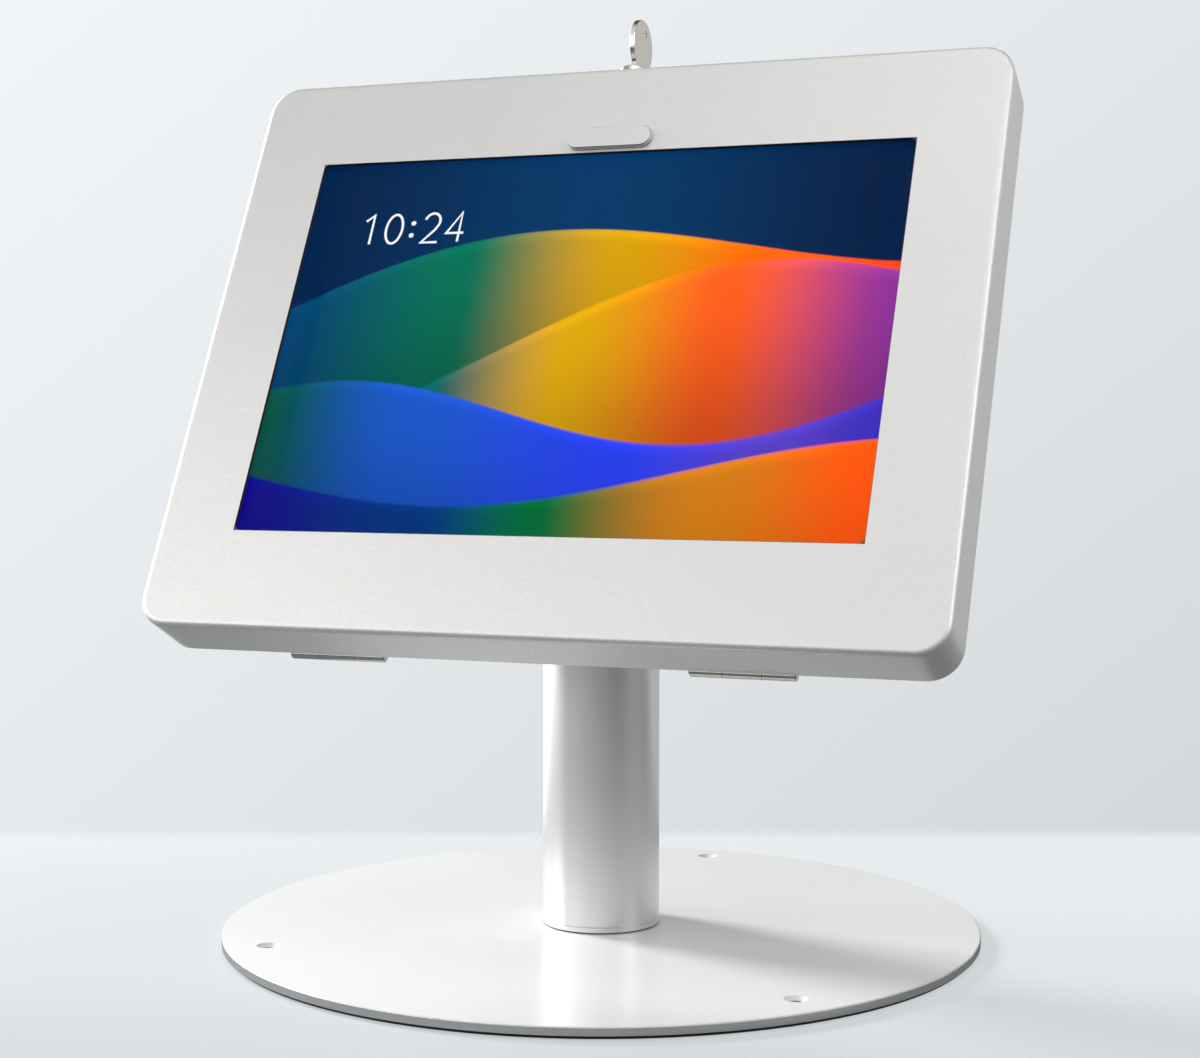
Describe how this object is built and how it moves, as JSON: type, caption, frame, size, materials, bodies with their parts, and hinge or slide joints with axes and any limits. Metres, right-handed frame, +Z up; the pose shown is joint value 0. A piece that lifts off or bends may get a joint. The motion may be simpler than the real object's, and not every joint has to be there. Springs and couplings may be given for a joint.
{
  "type": "tablet security kiosk stand",
  "caption": "Free-standing tablet kiosk: round base plate, tube column, tilting and turning head, and a locking case whose hinged front cover frames the screen.",
  "frame": {"origin": "on the column's axis at the underside of the base pad", "axes": "+Z up, -Y is the side that the screen faces, +X to the right of a person facing the screen"},
  "size_m": [0.304, 0.2874, 0.354],
  "materials": {
    "case_coat": "satin fine-grained powder coat",
    "column_coat": "smooth satin coat",
    "base_coat": "smooth gloss coat",
    "pad_rubber": "matte",
    "grommet_rubber": "matte",
    "zinc_steel": "bright zinc",
    "head_casting": "satin powder coat on a casting",
    "hinge_steel": "plain drawn steel",
    "nickel": "polished nickel plate",
    "friction_fibre": "fibre",
    "bracket_nylon": "moulded nylon",
    "foam": "closed-cell foam",
    "tablet_aluminium": "fine blasted anodising",
    "screen_glass": "polished, with the picture behind it",
    "display_module": "smooth",
    "battery_wrap": "wrapped pouch",
    "board_laminate": "solder mask",
    "button_aluminium": "fine blasted anodising"
  },
  "bodies": {
    "stand": {"base_pad": "pad_rubber", "base_plate": "base_coat", "column_foot": "column_coat", "column_foot_screws": "zinc_steel", "column_tube": "column_coat", "column_cable_grommet": "grommet_rubber", "column_head": "head_casting", "column_head_grub_screws": "zinc_steel", "tilt_bolt": "zinc_steel", "tilt_washers": "zinc_steel", "tilt_nut": "zinc_steel"},
    "tilt_head": {"tilt_arm": "head_casting", "tilt_friction_discs": "friction_fibre", "swivel_friction_washers": "friction_fibre"},
    "enclosure": {"swivel_tube": "zinc_steel", "swivel_spring_washer": "zinc_steel", "swivel_nut": "zinc_steel", "swivel_stop_pin": "zinc_steel", "vesa_plate": "case_coat", "vesa_screws": "zinc_steel", "vesa_clinch_nuts": "zinc_steel", "back_panel": "case_coat", "hinge_fixed_leaves": "hinge_steel", "hinge_pins": "hinge_steel", "corner_brackets": "bracket_nylon", "corner_bracket_screws": "zinc_steel", "corner_bracket_pads": "foam", "strike_plate": "zinc_steel", "strike_screws": "zinc_steel", "tablet_shell": "tablet_aluminium", "tablet_glass": "screen_glass", "tablet_display": "display_module", "tablet_battery": "battery_wrap", "tablet_board": "board_laminate"},
    "power_button": {"tablet_power_button": "button_aluminium"},
    "volume_up_button": {"tablet_volume_up_button": "button_aluminium"},
    "volume_down_button": {"tablet_volume_down_button": "button_aluminium"},
    "cover": {"front_cover": "case_coat", "window_gasket": "foam", "camera_cover": "case_coat", "hinge_moving_leaves": "hinge_steel", "lock_housing": "nickel", "lock_nut": "zinc_steel"},
    "lock": {"lock_plug": "nickel", "lock_cam": "zinc_steel", "lock_cam_screw": "zinc_steel"},
    "key": {"key": "nickel"}
  },
  "joints": [
    {"name": "head_tilt", "type": "hinge", "parent": "stand", "child": "tilt_head", "pos_m": [0, 0, 0.178], "axis": [-1, 0, 0], "range_deg": [-20, 60]},
    {"name": "head_turn", "type": "hinge", "parent": "tilt_head", "child": "enclosure", "pos_m": [0, -0.00533, 0.21326], "axis": [0, -0.889, 0.4579], "range_deg": [0, 90]},
    {"name": "cover_open", "type": "hinge", "parent": "enclosure", "child": "cover", "pos_m": [0, -0.06309, 0.11028], "axis": [1, 0, 0], "range_deg": [0, 105]},
    {"name": "lock_turn", "type": "hinge", "parent": "cover", "child": "lock", "pos_m": [0, 0.03482, 0.32616], "axis": [0, -0.4579, -0.889], "range_deg": [0, 90]},
    {"name": "key_pull", "type": "slide", "parent": "lock", "child": "key", "axis": [0, 0.4579, 0.889], "range_m": [0, 0.024]},
    {"name": "power_press", "type": "slide", "parent": "enclosure", "child": "power_button", "axis": [1, 0, 0], "range_m": [0, 0.0004], "stiffness_N_per_m": 800, "springref_m": -0.0006},
    {"name": "volume_up_press", "type": "slide", "parent": "enclosure", "child": "volume_up_button", "axis": [0, -0.4579, -0.889], "range_m": [0, 0.0004], "stiffness_N_per_m": 800, "springref_m": -0.0006},
    {"name": "volume_down_press", "type": "slide", "parent": "enclosure", "child": "volume_down_button", "axis": [0, -0.4579, -0.889], "range_m": [0, 0.0004], "stiffness_N_per_m": 800, "springref_m": -0.0006}
  ]
}
